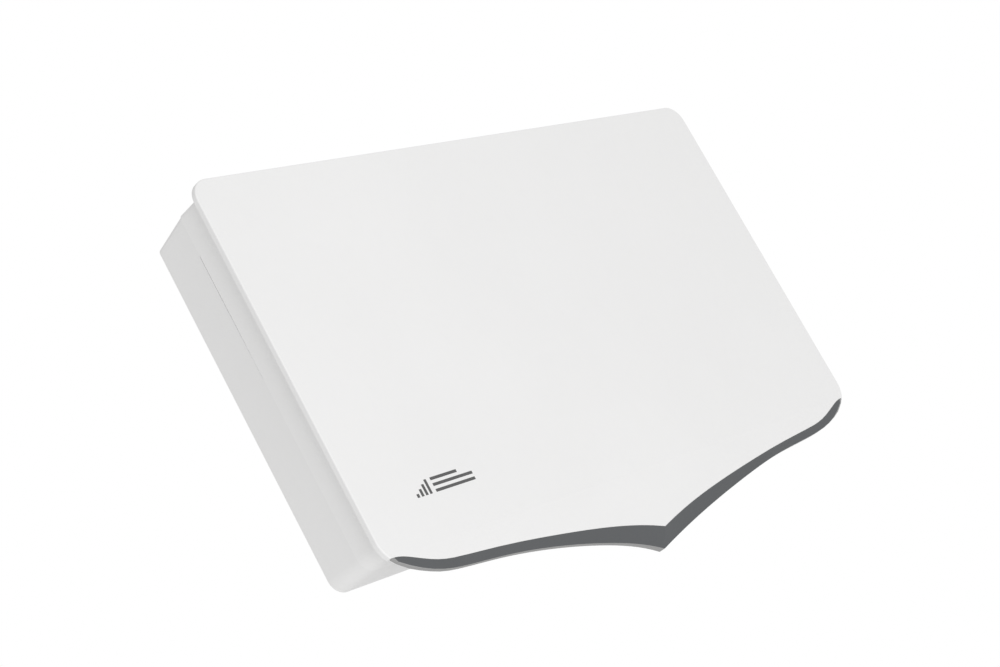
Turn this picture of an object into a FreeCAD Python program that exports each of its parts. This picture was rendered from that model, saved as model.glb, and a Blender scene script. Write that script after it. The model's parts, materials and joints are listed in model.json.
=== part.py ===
import FreeCAD, Part
import math
import os

# Flat-panel satellite antenna with its mast bracket. Units are millimetres, +Z is up along the mast,
# the panel looks along -Y, and the origin is the centre of the mast in the clamp.
os.makedirs("parts", exist_ok=True)

# ---- panel, measured from its own front face: X right, Y back from the face, Z up ----
FACE_HALF_W = 272.5        # half of the 545 mm width
FACE_TOP = 143.4           # top edge
CHIN_START = -143.4        # level where the flat face ends and the chin begins
TOP_CORNER_R = 15.0
LIP = 4.5                  # thickness of the cover's edge
SKIN = 2.5                 # plastic wall
EDGE_ROUND = 1.0           # rounding of the cover's front edge
CHIN_CURL = 0.03487        # below the flat part the face curls back by this times drop to the power 1.5
BODY_HALF_W = 264.4        # outside of the housing walls
BODY_TOP = 135.0
BODY_BOTTOM = -140.5
BODY_TOP_R = 4.0           # housing corners, seen from the front
BODY_LOW_R = 11.0
SEAM_Y = 32.0              # parting line between housing frame and rear shell
PRY_SLOT = (0.08, 0.38)    # the parting line opens from one width to the other on the side walls
PRY_SLOT_Z = (6.0, 60.0, 103.0)
BODY_DEPTH = 67.0
BACK_TOP = 128.4           # the rear shell's top wall slopes down to here
BACK_EDGE_R = 0.8
BACK_RECESS = 0.7          # shallow fields moulded into the shell's back

# Half of the chin, from the middle of the tip to the corner: distance from the middle, height of the
# white face's lower edge, height and depth of the dark trim's lower edge, height and depth of the
# light wall's lower edge behind it.
CHIN_STATIONS = [
    (0.0, -186.9, -200.3, 20.8, -200.3, 26.6),
    (30.0, -179.3, -191.5, 14.3, -191.5, 18.9),
    (75.0, -171.3, -181.1, 8.7, -181.1, 12.6),
    (120.0, -165.3, -172.7, 5.9, -172.7, 10.0),
    (165.0, -160.4, -166.3, 6.4, -166.4, 10.3),
    (205.0, -157.3, -163.3, 5.4, -163.4, 9.4),
    (227.0, -154.5, -160.9, 2.9, -161.0, 7.0),
    (244.0, -149.2, -156.1, 1.3, -156.5, 4.7),
    (258.0, -144.4, -149.2, 0.9, -150.4, 3.5),
    (268.3, -143.4, -142.6, 0.6, -142.2, 2.4),
]
CHIN_STEPS = 30            # sections along each half of the trim
TRIM_END = (262.0, 263.4)  # the dark trim's end, slanted between these distances from the middle
CHIN_END = 266.4           # end of the light wall
CHIN_STEP = 0.15           # the light wall's rim stays this far below the white face's edge
LOW_CORNER_R = 20.0
PLATE_BOTTOM = -150.0      # the lower corners' arcs would end here; the chin's edge cuts them off
TRIM_WALL = 3.0
CHIN_BACK_END = 251.0      # up to here from the middle the light wall reaches the housing

# ---- array inside the panel ----
ARRAY_MID = -2.6           # height of the array's middle
ARRAY_HALF_W = 256.0
ARRAY_HALF_H = 130.0
HORN_COLS = 24
HORN_ROWS = 12
HORN_PITCH = 20.5
HORN_MOUTH = 18.9
HORN_THROAT = 13.0
HORN_Y = 7.5
HORN_DEPTH = 14.0
FEED_DEPTH = 6.0
CHANNEL_DEPTH = 4.0
BACK_PLATE = 2.0
FLANGE = 3.0
WINDOW_HALF_W = 252.4      # opening in the frame's front flange
WINDOW_HALF_H = 126.4

# ---- low-noise block ----
LNB_HALF_W = 62.0
LNB_BOTTOM = -134.0
LNB_TOP = -52.0
LNB_DEPTH = 22.0
LNB_WALL = 3.0
PORT_X = 20.0              # the two F-sockets are this far from the middle
PORT_Y = 50.0
F_THREAD_R = 4.76          # 3/8 inch thread
F_GROOVE_R = 4.3           # run-out groove above the thread
F_BARREL_R = 4.7
F_END = -158.0
F_THREAD_TOP = -146.0
F_GROOVE_TOP = -145.2

# ---- mount on the back ----
PLATE_T = 3.0
BODY_GAP = 0.3             # between parts that move past each other
MOUNT_PLATE_HALF = 92.0
MOUNT_SCREW = 76.0
DISC_R = 85.0
SKEW_BOLT_R = 70.0         # the skew lock bolts sit on this radius
SKEW_LIMIT = 25.0
TILT_LIMIT = 60.0

# ---- bracket, in the mast's own frame ----
FACE_Y = -176.3            # the panel's front face
PIVOT_Y = -80.0            # elevation pivot
MAST_R = 25.0
ROOT_OUT = 50.0            # outer faces of the mast bracket's cheeks
WEB_Y = -34.0
WEB_HALF_H = 40.0
PIVOT_END_R = 16.0
LOCK_R = 40.0              # elevation lock bolts, distance from the pivot
LOCK_DEG = -30.0
YOKE_HALF_H = 42.0
YOKE_R = 49.0
CLAMP_HALF_W = 46.0
CLAMP_HALF_H = 25.0
CLAMP_GAP = 8.0            # half the gap between saddle and jaw
CLAMP_DEPTH = 31.0
CLAMP_BOLT_X = 35.0
CLAMP_BOLT_Z = 14.0
CLAMP_BOLT_END = 56.0

X_AXIS = FreeCAD.Vector(1, 0, 0)
Y_AXIS = FreeCAD.Vector(0, 1, 0)
Z_AXIS = FreeCAD.Vector(0, 0, 1)


# ---------------------------------------------------------------- helpers
def vec(x, y, z):
    return FreeCAD.Vector(x, y, z)


def box(x0, x1, y0, y1, z0, z1):
    return Part.makeBox(x1 - x0, y1 - y0, z1 - z0, vec(x0, y0, z0))


def cyl(x, y, z, r, length, axis):
    return Part.makeCylinder(r, length, vec(x, y, z), axis)


def tube(x, y, z, r_out, r_in, length, axis):
    return cyl(x, y, z, r_out, length, axis).cut(cyl(x, y, z, r_in, length, axis))


def hexagon(x, y, z, across_flats, length, axis):
    radius = across_flats / math.sqrt(3.0)
    points = []
    for i in range(7):
        a = math.radians(60.0 * i)
        points.append(vec(radius * math.cos(a), radius * math.sin(a), 0))
    solid = Part.Face(Part.makePolygon(points)).extrude(vec(0, 0, length))
    chamfer = Part.makeCone(radius * 1.06 + length, radius * 0.94, length + radius * 0.12)
    solid = solid.common(chamfer.fuse(cyl(0, 0, 0, radius * 1.2, length * 0.7, Z_AXIS)))
    turn = FreeCAD.Rotation(Z_AXIS, axis)
    return solid.transformGeometry(FreeCAD.Placement(vec(x, y, z), turn).toMatrix())


def extrude_xz(points, y0, y1):
    # prism along Y from points (x, z)
    wire = Part.makePolygon([vec(x, y0, z) for x, z in points] + [vec(points[0][0], y0, points[0][1])])
    return Part.Face(wire).extrude(vec(0, y1 - y0, 0))


def extrude_yz(points, x0, x1):
    # prism along X from points (y, z)
    wire = Part.makePolygon([vec(x0, y, z) for y, z in points] + [vec(x0, points[0][0], points[0][1])])
    return Part.Face(wire).extrude(vec(x1 - x0, 0, 0))


def round_rect(y, x0, x1, z0, z1, r_low, r_top=None):
    # closed wire in the plane Y = y, one radius for the lower corners and one for the upper
    r_top = r_low if r_top is None else r_top
    corners = []
    for side_x, side_z, r in ((1, 1, r_top), (1, -1, r_low), (-1, -1, r_low), (-1, 1, r_top)):
        x = x1 if side_x > 0 else x0
        z = z1 if side_z > 0 else z0
        d = r * (1.0 - math.sqrt(0.5))
        flat = vec(x - side_x * r, y, z)
        upright = vec(x, y, z - side_z * r)
        middle = vec(x - side_x * d, y, z - side_z * d)
        turn = (flat, middle, upright) if side_x == side_z else (upright, middle, flat)
        corners.append(turn)
    edges = []
    for i in range(4):
        a, b, c = corners[i]
        edges.append(Part.Arc(a, b, c).toShape())
        edges.append(Part.makeLine(c, corners[(i + 1) % 4][0]))
    return Part.Wire(edges)


def round_block(x0, x1, y0, y1, z0, z1, r_low, r_top=None):
    return Part.Face(round_rect(y0, x0, x1, z0, z1, r_low, r_top)).extrude(vec(0, y1 - y0, 0))


def fuse_all(shapes):
    return shapes[0].multiFuse(shapes[1:]).removeSplitter()


def save(node, shapes, y_shift=0.0):
    # write one node: a single solid, or several identical fasteners as separate solids
    placed = []
    for shape in shapes:
        moved = shape.copy()
        moved.translate(vec(0, y_shift, 0))
        placed.append(moved)
    result = placed[0] if len(placed) == 1 else Part.makeCompound(placed)
    result.exportStep("parts/" + node + ".step")


def both_sides(shape):
    return shape.mirror(vec(0, 0, 0), X_AXIS)


# ---------------------------------------------------------------- cover and chin
def face_depth(z):
    # how far back the front face is at height z
    return CHIN_CURL * max(CHIN_START - z, 0.0) ** 1.5


def behind_face(offset):
    # everything further back than the front face moved back by offset
    drops = [4.0 * k for k in range(20)]
    curl = Part.BSplineCurve()
    curl.interpolate(Points=[vec(-300.0, offset + face_depth(CHIN_START - d), CHIN_START - d) for d in drops],
                     InitialTangent=vec(0, 0, -1), FinalTangent=vec(0, 1.5 * CHIN_CURL * drops[-1] ** 0.5, -1))
    top = vec(-300.0, offset, FACE_TOP + 20.0)
    back_top = vec(-300.0, 60.0, FACE_TOP + 20.0)
    back_low = vec(-300.0, 60.0, CHIN_START - drops[-1])
    wire = Part.Wire([Part.makeLine(top, curl.StartPoint), curl.toShape(), Part.makeLine(curl.EndPoint, back_low),
                      Part.makeLine(back_low, back_top), Part.makeLine(back_top, top)])
    return Part.Face(wire).extrude(vec(600.0, 0, 0))


def chin_curve(column):
    # smooth curve through one column of the stations; its parameter is the distance from the middle
    curve = Part.BSplineCurve()
    curve.interpolate(Points=[vec(s[0], 0, s[column]) for s in CHIN_STATIONS],
                      Parameters=[s[0] for s in CHIN_STATIONS])
    return curve


FACE_EDGE, TRIM_EDGE, TRIM_BACK, CHIN_EDGE, CHIN_BACK = (chin_curve(column) for column in (1, 2, 3, 4, 5))
CHIN_PLACES = [TRIM_END[0] * k / CHIN_STEPS for k in range(CHIN_STEPS + 1)]


def cover_outline(y):
    # flat plate behind the white front: small corners at the top, larger ones at the bottom
    w = FACE_HALF_W
    corners = [
        (vec(w - TOP_CORNER_R, y, FACE_TOP), vec(w, y, FACE_TOP - TOP_CORNER_R), 1, 1, TOP_CORNER_R),
        (vec(w, y, PLATE_BOTTOM + LOW_CORNER_R), vec(w - LOW_CORNER_R, y, PLATE_BOTTOM), 1, -1, LOW_CORNER_R),
        (vec(LOW_CORNER_R - w, y, PLATE_BOTTOM), vec(-w, y, PLATE_BOTTOM + LOW_CORNER_R), -1, -1, LOW_CORNER_R),
        (vec(-w, y, FACE_TOP - TOP_CORNER_R), vec(TOP_CORNER_R - w, y, FACE_TOP), -1, 1, TOP_CORNER_R),
    ]
    edges = []
    for i in range(4):
        start, end, side, level, r = corners[i]
        d = r * (1.0 - math.sqrt(0.5))
        edge_z = FACE_TOP if level > 0 else PLATE_BOTTOM
        middle = vec(side * (w - d), y, edge_z - level * d)
        edges.append(Part.Arc(start, middle, end).toShape())
        edges.append(Part.makeLine(end, corners[(i + 1) % 4][0]))
    return Part.Face(Part.Wire(edges))


def below_chin_edge(y0, y1):
    # everything under the line where the white face ends
    right = FACE_EDGE.toShape()
    corner = FACE_EDGE.EndPoint
    out = vec(285.0, 0, corner.z)
    down = vec(285.0, 0, -230.0)
    edges = [right, Part.makeLine(corner, out), Part.makeLine(out, down)]
    bottom = Part.makeLine(down, vec(-285.0, 0, -230.0))
    wire = Part.Wire(edges + [bottom] + [both_sides(edge) for edge in reversed(edges)])
    solid = Part.Face(wire).extrude(vec(0, y1 - y0, 0))
    solid.translate(vec(0, y0, 0))
    return solid


def front_cover():
    plate = cover_outline(0.0).extrude(vec(0, 40.0, 0))
    rim = [edge for edge in plate.Edges if edge.BoundBox.YMax < 0.01]
    plate = plate.makeFillet(EDGE_ROUND, rim)
    chin = box(-246.0, 246.0, 0.0, 40.0, -200.0, -140.0)
    outer = plate.fuse(chin).common(behind_face(0.0)).cut(behind_face(LIP))
    outer = outer.cut(below_chin_edge(-5.0, 60.0))
    room = behind_face(SKIN)
    pocket = box(-BODY_HALF_W + SKIN, BODY_HALF_W - SKIN, 0.0, 60.0, BODY_BOTTOM + 8.0, BODY_TOP - SKIN)
    w = CHIN_BACK_END + 0.5
    chin_room = box(-w, w, 0.0, 60.0, -230.0, BODY_BOTTOM)
    return outer.cut(room.common(pocket)).cut(room.common(chin_room))


def chin_section(x, points):
    return Part.makePolygon([vec(x, y, z) for y, z in points] + [vec(x, points[0][0], points[0][1])])


def chin_trim():
    # dark strip under the white face, one loft for each half
    sections = []
    for x in CHIN_PLACES + [TRIM_END[1]]:
        face_z = FACE_EDGE.value(x).z
        low_z = TRIM_EDGE.value(x).z if x <= TRIM_END[0] else face_z - 0.4
        back = TRIM_BACK.value(x).z
        front = face_depth(face_z)
        sections.append(chin_section(x, [
            (front - 0.04, face_z + 0.8),
            (front, face_z),
            (back, low_z),
            (back, low_z + min(TRIM_WALL, 0.5 * (face_z - low_z))),
            (min(front + TRIM_WALL, back), face_z + 0.8),
        ]))
    half = Part.makeLoft(sections, True, True).common(below_chin_edge(-5.0, 60.0))
    return half.fuse(both_sides(half)).removeSplitter()


def chin_back():
    # light wall that closes the chin from behind; its lower edge shows as a thin line under the trim
    wall = []
    corner = []
    for x in CHIN_PLACES + [TRIM_END[1], CHIN_END]:
        face_z = FACE_EDGE.value(x).z
        low_z = CHIN_EDGE.value(x).z
        step_z = face_z - CHIN_STEP
        y0 = TRIM_BACK.value(x).z
        y1 = CHIN_BACK.value(x).z
        if x < CHIN_BACK_END:
            y2 = max(y0 + 0.3, face_depth(face_z) + SKIN + 0.1)
            wall.append(chin_section(x, [(y0, low_z), (y1, low_z), (y1, BODY_BOTTOM), (y2, BODY_BOTTOM),
                                         (y2, step_z), (y0, step_z)]))
            corner = []
        corner.append(chin_section(x, [(y0, low_z), (y1, low_z), (y1, step_z), (y0, step_z)]))
    half = Part.makeLoft(wall, True, True).fuse(Part.makeLoft(corner, True, True))
    return half.fuse(both_sides(half)).removeSplitter()


# ---------------------------------------------------------------- housing
def body_block(inset, y0, y1):
    # the housing's box, moved inwards by inset
    w = BODY_HALF_W - inset
    return round_block(-w, w, y0, y1, BODY_BOTTOM + inset, BODY_TOP - inset,
                       BODY_LOW_R - inset, max(BODY_TOP_R - inset, 0.6))


def housing_frame():
    y0 = LIP
    window = round_block(-WINDOW_HALF_W, WINDOW_HALF_W, y0, SEAM_Y, ARRAY_MID - WINDOW_HALF_H,
                         ARRAY_MID + WINDOW_HALF_H, 4.0)
    frame = body_block(0.0, y0, SEAM_Y).cut(body_block(SKIN, y0 + FLANGE, SEAM_Y))
    return frame.cut(window).cut(seal_ring(y0, y0 + 1.6, 0.0))


def seal_ring(y0, y1, clearance):
    w = WINDOW_HALF_W + 6.5
    h = WINDOW_HALF_H + 5.8
    t = 1.1 - clearance
    big = round_block(-w - t, w + t, y0, y1, ARRAY_MID - h - t, ARRAY_MID + h + t, 6.0 + t)
    small = round_block(-w + t, w - t, y0, y1, ARRAY_MID - h + t, ARRAY_MID + h - t, 6.0 - t)
    return big.cut(small)


def shell_loft(inset, y0, y1):
    # tapered box: the top wall slopes in towards the back
    sections = []
    for y in (y0, y1):
        s = (y - SEAM_Y) / (BODY_DEPTH - SEAM_Y)
        w = BODY_HALF_W - inset
        top = BODY_TOP - 0.6 + (BACK_TOP - BODY_TOP + 0.6) * s - inset
        sections.append(round_rect(y, -w, w, BODY_BOTTOM + inset, top, BODY_LOW_R - inset,
                                   max(BODY_TOP_R - inset, 0.6)))
    return Part.makeLoft(sections, True, True)


CASE_SCREWS = [(x, z) for x in (-236.0, -140.0, 140.0, 236.0) for z in (-116.0, 104.0)]
CASE_SCREWS += [(-236.0, -6.0), (236.0, -6.0), (0.0, 104.0)]
MOUNT_SCREWS = [(sx * MOUNT_SCREW, sz * MOUNT_SCREW) for sx in (-1, 1) for sz in (-1, 1)]
STACK_END = HORN_Y + HORN_DEPTH + 2 * FEED_DEPTH + BACK_PLATE


def pry_slot():
    # wedge cut into a side wall at the parting line, where a blade opens the case
    start, full, end = PRY_SLOT_Z
    narrow, wide = PRY_SLOT
    points = [(SEAM_Y + narrow, start), (SEAM_Y + wide, full), (SEAM_Y + wide, end), (SEAM_Y - 1.0, end),
              (SEAM_Y - 1.0, start)]
    return extrude_yz(points, BODY_HALF_W - 1.3, BODY_HALF_W + 1.0)


def back_fields():
    # shallow fields left and right of the mount plate
    fields = []
    for sx in (-1, 1):
        x0, x1 = sorted((sx * (MOUNT_PLATE_HALF + 14.0), sx * (BODY_HALF_W - 14.0)))
        fields.append(round_block(x0, x1, BODY_DEPTH - BACK_RECESS, BODY_DEPTH + 1.0,
                                  BODY_BOTTOM + 14.0, BACK_TOP - 14.0, 8.0))
    return fields


def rear_shell():
    y0 = SEAM_Y
    outer = shell_loft(0.0, y0, BODY_DEPTH)
    rim = [e for e in outer.Edges if e.BoundBox.YMin > BODY_DEPTH - 0.01]
    outer = outer.makeFillet(BACK_EDGE_R, rim)
    shell = outer.cut(shell_loft(SKIN, y0 - 1.0, BODY_DEPTH - SKIN))
    tongue = shell_loft(SKIN + 0.2, y0 - 3.0, y0 + 1.0).fuse(shell_loft(SKIN - 0.5, y0, y0 + 4.0))
    tongue = tongue.cut(shell_loft(SKIN + 2.0, y0 - 4.0, y0 + 5.0))
    posts = [cyl(x, STACK_END, z, 5.2, BODY_DEPTH - 1.0 - STACK_END, Y_AXIS) for x, z in CASE_SCREWS]
    bosses = [cyl(x, 52.0, z, 7.5, BODY_DEPTH - 53.0, Y_AXIS) for x, z in MOUNT_SCREWS]
    ribs = [box(x - 0.9, x + 0.9, 54.0, BODY_DEPTH - 1.0, -110.0, 120.0) for x in (-190.0, 190.0)]
    ribs += [box(-245.0, -105.0, 56.0, BODY_DEPTH - 1.0, z - 0.9, z + 0.9) for z in (-60.0, 50.0)]
    ribs += [box(105.0, 245.0, 56.0, BODY_DEPTH - 1.0, z - 0.9, z + 0.9) for z in (-60.0, 50.0)]
    shell = shell.multiFuse([tongue] + posts + bosses + ribs)
    cuts = []
    for x, z in CASE_SCREWS:
        cuts.append(cyl(x, STACK_END - 1.0, z, 2.2, 40.0, Y_AXIS))
        cuts.append(cyl(x, STACK_END + 6.0, z, 3.9, 40.0, Y_AXIS))
    for x, z in MOUNT_SCREWS:
        cuts.append(cyl(x, 51.0, z, 4.0, 12.0, Y_AXIS))
        cuts.append(cyl(x, 60.0, z, 2.7, 20.0, Y_AXIS))
    cuts.append(cyl(0.0, 60.0, 0.0, 11.0, 20.0, Y_AXIS))
    for sx in (-1, 1):
        cuts.append(cyl(sx * SKEW_BOLT_R, 60.0, 0.0, 8.2, 20.0, Y_AXIS))
        cuts.append(cyl(sx * PORT_X, PORT_Y, BODY_BOTTOM - 2.0, F_THREAD_R + 0.5, 8.0, Z_AXIS))
    cuts.append(cyl(130.0, PORT_Y, BODY_BOTTOM - 2.0, 3.2, 8.0, Z_AXIS))
    slot = pry_slot()
    shell = shell.cut(Part.makeCompound(cuts)).cut(Part.makeCompound(back_fields()))
    return shell.cut(slot).cut(both_sides(slot)).removeSplitter()


def rear_seal():
    # rubber cord round the tongue, just inside the parting line
    y0 = SEAM_Y - 4.9
    return body_block(SKIN, y0, y0 + 1.9).cut(body_block(SKIN + 2.2, y0, y0 + 1.9))


def case_screws():
    screws = []
    for x, z in CASE_SCREWS:
        head_y = STACK_END + 6.0
        head = cyl(x, head_y, z, 3.5, 2.4, Y_AXIS)
        shank = cyl(x, head_y - 8.0, z, 1.9, 8.0, Y_AXIS)
        socket = hexagon(x, head_y + 0.9, z, 2.5, 2.0, Y_AXIS)
        screws.append(head.fuse(shank).cut(socket).removeSplitter())
    return screws


# ---------------------------------------------------------------- array
def array_block(y0, y1):
    return round_block(-ARRAY_HALF_W, ARRAY_HALF_W, y0, y1, ARRAY_MID - ARRAY_HALF_H,
                       ARRAY_MID + ARRAY_HALF_H, 6.0)


def column_x(i):
    return (i - (HORN_COLS - 1) / 2.0) * HORN_PITCH


def row_z(j):
    return ARRAY_MID + (j - (HORN_ROWS - 1) / 2.0) * HORN_PITCH


ARRAY_SCREWS = [(x, ARRAY_MID + s * 126.6) for x in (-215.0, -145.0, -75.0, 75.0, 145.0, 215.0)
                for s in (-1, 1)]


def screw_holes(places, r, y0, y1):
    return Part.makeCompound([cyl(x, y0, z, r, y1 - y0, Y_AXIS) for x, z in places])


def horn_plate():
    m = HORN_MOUTH / 2
    t = HORN_THROAT / 2
    y1 = HORN_Y + HORN_DEPTH
    horns = []
    for i in range(HORN_COLS):
        for j in range(HORN_ROWS):
            x = column_x(i)
            z = row_z(j)
            mouth = Part.makePolygon([vec(x + a * m, HORN_Y, z + b * m)
                                      for a, b in ((-1, -1), (1, -1), (1, 1), (-1, 1), (-1, -1))])
            throat = Part.makePolygon([vec(x + a * t, y1, z + b * t)
                                       for a, b in ((-1, -1), (1, -1), (1, 1), (-1, 1), (-1, -1))])
            horns.append(Part.makeLoft([mouth, throat], True, True))
    plate = array_block(HORN_Y, y1)
    plate = plate.cut(screw_holes(ARRAY_SCREWS, 1.5, y1 - 6.0, y1))
    return plate.cut(Part.makeCompound(horns))


def feed_plate_front():
    # one channel along each row of horns, joined by a trunk down the middle
    y0 = HORN_Y + HORN_DEPTH
    reach = column_x(HORN_COLS - 1) + 6.0
    channels = [box(-reach, reach, y0, y0 + CHANNEL_DEPTH, row_z(j) - 5.0, row_z(j) + 5.0)
                for j in range(HORN_ROWS)]
    channels.append(box(-6.0, 6.0, y0, y0 + CHANNEL_DEPTH, row_z(0), row_z(HORN_ROWS - 1)))
    window = box(-9.5, 9.5, y0, y0 + FEED_DEPTH, -90.0, -80.0)
    cutter = fuse_all(channels + [window])
    holes = screw_holes(ARRAY_SCREWS, 1.8, y0, y0 + FEED_DEPTH)
    return array_block(y0, y0 + FEED_DEPTH).cut(cutter).cut(holes)


def feed_plate_rear():
    # one channel along each column of horns, joined by a trunk across the middle
    y0 = HORN_Y + HORN_DEPTH + FEED_DEPTH
    low = row_z(0) - 4.0
    high = row_z(HORN_ROWS - 1) + 4.0
    channels = [box(column_x(i) - 4.0, column_x(i) + 4.0, y0, y0 + CHANNEL_DEPTH, low, high)
                for i in range(HORN_COLS)]
    channels.append(box(column_x(0), column_x(HORN_COLS - 1), y0, y0 + CHANNEL_DEPTH,
                        ARRAY_MID - 5.0, ARRAY_MID + 5.0))
    windows = [box(-9.5, 9.5, y0, y0 + FEED_DEPTH, z, z + 10.0) for z in (-90.0, -70.0)]
    cutter = fuse_all(channels + windows)
    holes = screw_holes(ARRAY_SCREWS, 1.8, y0, y0 + FEED_DEPTH)
    return array_block(y0, y0 + FEED_DEPTH).cut(cutter).cut(holes)


def array_back_plate():
    y0 = STACK_END - BACK_PLATE
    windows = [box(-9.5, 9.5, y0, STACK_END, z, z + 10.0) for z in (-90.0, -70.0)]
    plate = array_block(y0, STACK_END).cut(screw_holes(ARRAY_SCREWS, 1.8, y0, STACK_END))
    plate = plate.cut(screw_holes(CASE_SCREWS, 1.9, y0, STACK_END))
    return plate.cut(Part.makeCompound(windows)).cut(screw_holes(LNB_FIXINGS, 1.9, y0, STACK_END))


def array_screws():
    screws = []
    for x, z in ARRAY_SCREWS:
        head = cyl(x, STACK_END, z, 3.0, 1.8, Y_AXIS)
        shank = cyl(x, STACK_END - 19.0, z, 1.45, 19.0, Y_AXIS)
        screws.append(head.fuse(shank).removeSplitter())
    return screws


# ---------------------------------------------------------------- low-noise block
LNB_Y = STACK_END
LNB_MID = (LNB_BOTTOM + LNB_TOP) / 2
LNB_FIXINGS = [(sx * (LNB_HALF_W - 6.0), z) for sx in (-1, 1) for z in (LNB_BOTTOM + 6.0, LNB_TOP - 6.0)]


def lnb_housing():
    y1 = LNB_Y + LNB_DEPTH
    outer = round_block(-LNB_HALF_W, LNB_HALF_W, LNB_Y, y1, LNB_BOTTOM, LNB_TOP, 6.0)
    w = LNB_HALF_W - LNB_WALL
    inner = round_block(-w, w, LNB_Y + LNB_WALL, y1, LNB_BOTTOM + LNB_WALL, LNB_TOP - LNB_WALL, 3.0)
    posts = [cyl(x, LNB_Y, z, 5.0, LNB_DEPTH, Y_AXIS) for x, z in LNB_FIXINGS]
    casting = outer.cut(inner).multiFuse([p.common(outer) for p in posts])
    ports = [box(-9.5, 9.5, LNB_Y, LNB_Y + LNB_WALL, z, z + 10.0) for z in (-90.0, -70.0)]
    ports += [cyl(sx * PORT_X, PORT_Y, LNB_BOTTOM - 1.0, F_BARREL_R, 5.0, Z_AXIS) for sx in (-1, 1)]
    casting = casting.cut(Part.makeCompound(ports))
    return casting.cut(screw_holes(LNB_FIXINGS, 1.6, LNB_Y, y1)).removeSplitter()


def lnb_board():
    w = LNB_HALF_W - LNB_WALL - 0.5
    y0 = LNB_Y + 9.0
    board = box(-w, w, y0, y0 + 1.6, LNB_BOTTOM + 9.0, LNB_TOP - LNB_WALL - 0.5)
    notches = screw_holes(LNB_FIXINGS, 5.4, y0, y0 + 1.6)
    pins = [cyl(0.0, y0, z + 5.0, 0.75, 1.6, Y_AXIS) for z in (-90.0, -70.0)]
    board = board.cut(notches).cut(Part.makeCompound(pins))
    chips = [box(-18.0, -8.0, y0 + 1.6, y0 + 3.0, -84.0, -74.0), box(10.0, 18.0, y0 + 1.6, y0 + 2.8, -82.0, -74.0),
             box(-30.0, -24.0, y0 + 1.6, y0 + 3.4, -106.0, -98.0), box(24.0, 34.0, y0 + 1.6, y0 + 3.0, -108.0, -98.0)]
    return board.multiFuse(chips).removeSplitter()


def lnb_probes():
    return [cyl(0.0, LNB_Y - 4.0, z + 5.0, 0.65, 15.0, Y_AXIS) for z in (-90.0, -70.0)]


def lnb_lid():
    y0 = LNB_Y + LNB_DEPTH
    lid = round_block(-LNB_HALF_W, LNB_HALF_W, y0, y0 + 1.5, LNB_BOTTOM, LNB_TOP, 6.0)
    return lid.cut(screw_holes(LNB_FIXINGS, 1.8, y0, y0 + 1.5))


def lnb_screws():
    y0 = LNB_Y + LNB_DEPTH + 1.5
    screws = []
    for x, z in LNB_FIXINGS:
        shank = cyl(x, y0 - 14.0, z, 1.5, 14.0, Y_AXIS)
        screws.append(cyl(x, y0, z, 2.8, 1.6, Y_AXIS).fuse(shank).removeSplitter())
    return screws


def f_sockets():
    sockets = []
    for sx in (-1, 1):
        x = sx * PORT_X
        thread = cyl(x, PORT_Y, F_END, F_THREAD_R, F_THREAD_TOP - F_END, Z_AXIS)
        groove = cyl(x, PORT_Y, F_THREAD_TOP, F_GROOVE_R, F_GROOVE_TOP - F_THREAD_TOP, Z_AXIS)
        barrel = cyl(x, PORT_Y, F_GROOVE_TOP, F_BARREL_R, LNB_BOTTOM + LNB_WALL - F_GROOVE_TOP, Z_AXIS)
        collar = hexagon(x, PORT_Y, LNB_BOTTOM - 3.4, 11.0, 3.4, Z_AXIS)
        body = thread.multiFuse([groove, barrel, collar])
        sockets.append(body.cut(cyl(x, PORT_Y, F_END, 3.3, 40.0, Z_AXIS)).removeSplitter())
    return sockets


def f_insulators():
    plugs = []
    for sx in (-1, 1):
        x = sx * PORT_X
        body = tube(x, PORT_Y, F_END + 1.4, 3.3, 0.8, LNB_BOTTOM + LNB_WALL - F_END - 1.4, Z_AXIS)
        plugs.append(body)
    return plugs


def f_contacts():
    contacts = []
    for sx in (-1, 1):
        x = sx * PORT_X
        length = LNB_BOTTOM + LNB_WALL + 6.0 - F_END - 1.6
        contacts.append(tube(x, PORT_Y, F_END + 1.6, 0.8, 0.45, length, Z_AXIS))
    return contacts


def f_washers():
    return [tube(sx * PORT_X, PORT_Y, BODY_BOTTOM - 1.5, 8.0, F_BARREL_R + 0.1, 1.5, Z_AXIS) for sx in (-1, 1)]


def f_nuts():
    nuts = []
    for sx in (-1, 1):
        x = sx * PORT_X
        nut = hexagon(x, PORT_Y, BODY_BOTTOM - 1.5, 14.0, 2.6, vec(0, 0, -1))
        nuts.append(nut.cut(cyl(x, PORT_Y, BODY_BOTTOM - 9.0, F_BARREL_R, 9.0, Z_AXIS)))
    return nuts


def vent_plug():
    stem = cyl(130.0, PORT_Y, BODY_BOTTOM - 0.5, 3.1, 5.0, Z_AXIS)
    cap = cyl(130.0, PORT_Y, BODY_BOTTOM - 2.6, 6.0, 2.6, Z_AXIS)
    slots = [box(123.0, 137.0, PORT_Y - 0.5, PORT_Y + 0.5, BODY_BOTTOM - 3.0, BODY_BOTTOM - 1.8)]
    return cap.fuse(stem).cut(slots[0]).removeSplitter()


# ---------------------------------------------------------------- mount on the panel's back
def mount_plate():
    y0 = BODY_DEPTH
    h = MOUNT_PLATE_HALF
    plate = round_block(-h, h, y0, y0 + PLATE_T, -h, h, 14.0)
    holes = [cyl(x, y0, z, 2.9, PLATE_T, Y_AXIS) for x, z in MOUNT_SCREWS]
    holes.append(cyl(0.0, y0, 0.0, 5.1, PLATE_T, Y_AXIS))
    holes += [cyl(sx * SKEW_BOLT_R, y0, 0.0, 3.1, PLATE_T, Y_AXIS) for sx in (-1, 1)]
    drain = [round_block(-30.0, 30.0, y0, y0 + PLATE_T, z - 4.0, z + 4.0, 3.9) for z in (-60.0, 60.0)]
    return plate.cut(Part.makeCompound(holes + drain))


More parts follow.
